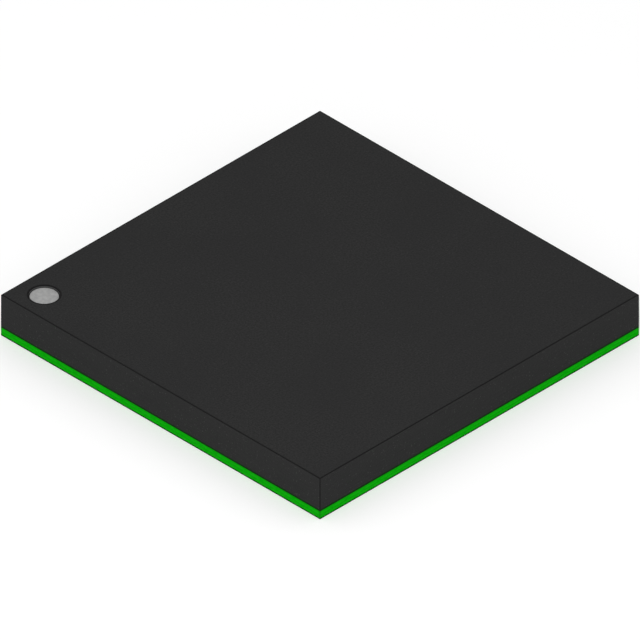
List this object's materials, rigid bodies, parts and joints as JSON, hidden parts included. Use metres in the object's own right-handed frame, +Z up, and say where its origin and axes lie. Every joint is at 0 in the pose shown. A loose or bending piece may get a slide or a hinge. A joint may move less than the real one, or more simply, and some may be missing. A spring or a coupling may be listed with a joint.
{
  "type": "land grid array integrated circuit",
  "caption": "Thin square black moulded integrated circuit on a green laminate, with a grey pin 1 mark on top and gold lands underneath.",
  "frame": {"origin": "centre of the underside, on the face of the bottom solder mask", "axes": "+Z up through the mould cap, with the pin 1 mark and land A1 at the corner towards -X and +Y"},
  "size_m": [0.009, 0.009, 0.001],
  "materials": {
    "mould_compound": "matte",
    "mark_ink": "matte",
    "solder_mask": "satin",
    "laminate": "matte",
    "plated_lands": "satin",
    "copper": "satin",
    "silicon": "satin",
    "adhesive": "matte",
    "aluminium_pads": "satin",
    "gold_wire": "satin"
  },
  "bodies": {
    "root": {"mould_cap": "mould_compound", "pin_1_mark": "mark_ink", "solder_mask_top": "solder_mask", "solder_mask_bottom": "solder_mask", "substrate_core": "laminate", "lands_north": "plated_lands", "lands_east": "plated_lands", "lands_south": "plated_lands", "lands_west": "plated_lands", "ground_plane": "plated_lands", "vias_north": "copper", "vias_east": "copper", "vias_south": "copper", "vias_west": "copper", "thermal_vias": "copper", "bond_fingers_north": "copper", "bond_fingers_east": "copper", "bond_fingers_south": "copper", "bond_fingers_west": "copper", "die_paddle": "copper", "die": "silicon", "die_attach_film": "adhesive", "die_bond_pads": "aluminium_pads", "bond_wires_north": "gold_wire", "bond_wires_east": "gold_wire", "bond_wires_south": "gold_wire", "bond_wires_west": "gold_wire", "ground_wires": "gold_wire"}
  },
  "joints": []
}
